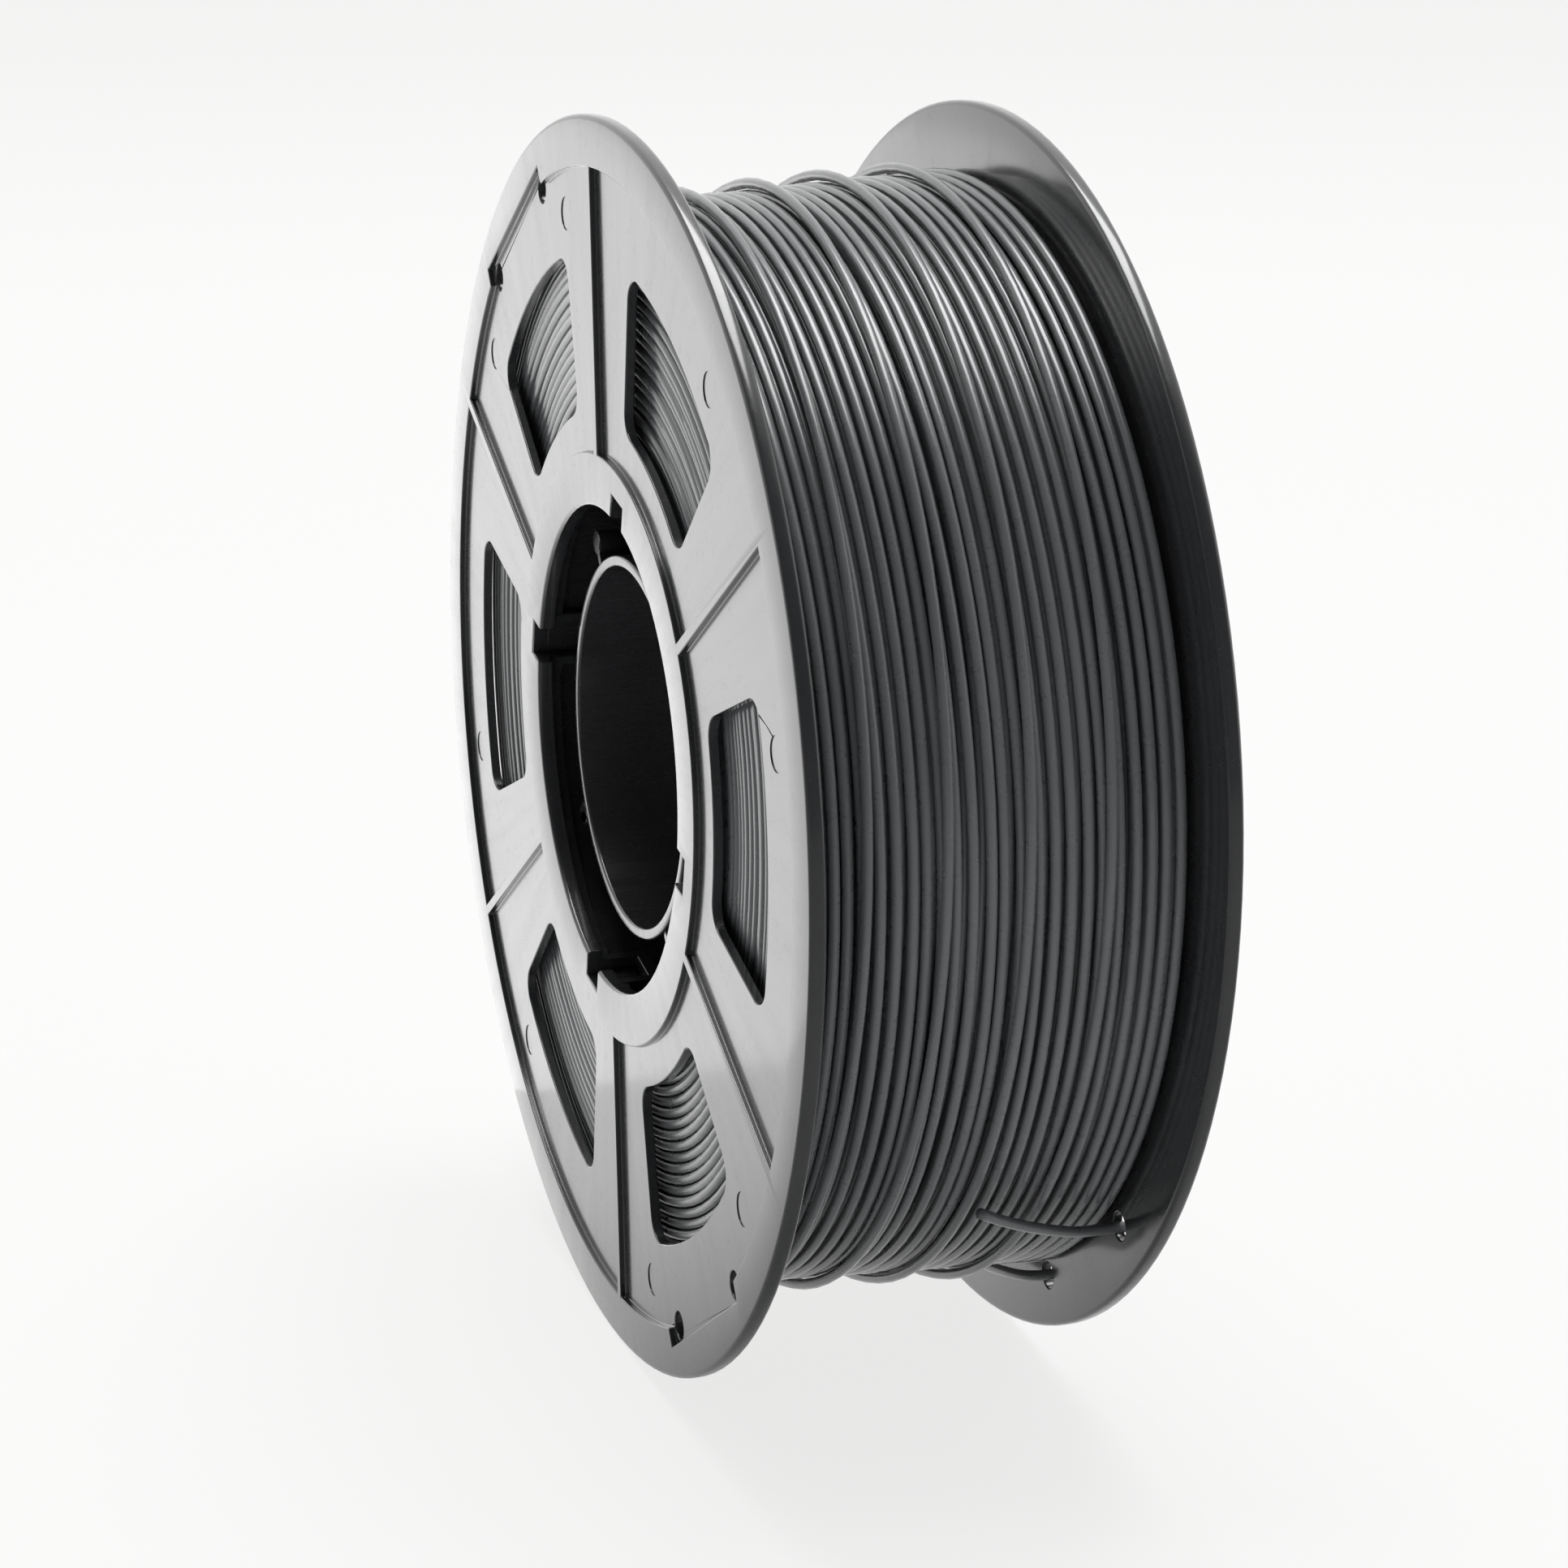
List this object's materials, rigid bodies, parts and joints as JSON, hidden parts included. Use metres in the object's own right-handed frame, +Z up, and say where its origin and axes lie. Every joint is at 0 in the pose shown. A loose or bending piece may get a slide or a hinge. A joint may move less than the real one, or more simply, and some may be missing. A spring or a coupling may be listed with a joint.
{
  "type": "filament spool",
  "caption": "Two-flange spool with windowed, ribbed flanges snapped onto a drum with a wide centre bore, wound with filament whose free end is tucked through the rear flange.",
  "frame": {"origin": "middle of the centre bore, on the spool's axis", "axes": "+Y along the axis towards the rear flange, +Z up, +X to the right seen from the front flange"},
  "size_m": [0.2, 0.0707, 0.2],
  "materials": {
    "flange_plastic": "gloss, moulded",
    "core_plastic": "gloss, moulded",
    "filament": "satin, drawn strand"
  },
  "bodies": {
    "root": {"front_flange": "flange_plastic", "rear_flange": "flange_plastic", "core": "core_plastic", "winding_core": "filament", "outer_turns": "filament", "filament_tail": "filament"}
  },
  "joints": []
}
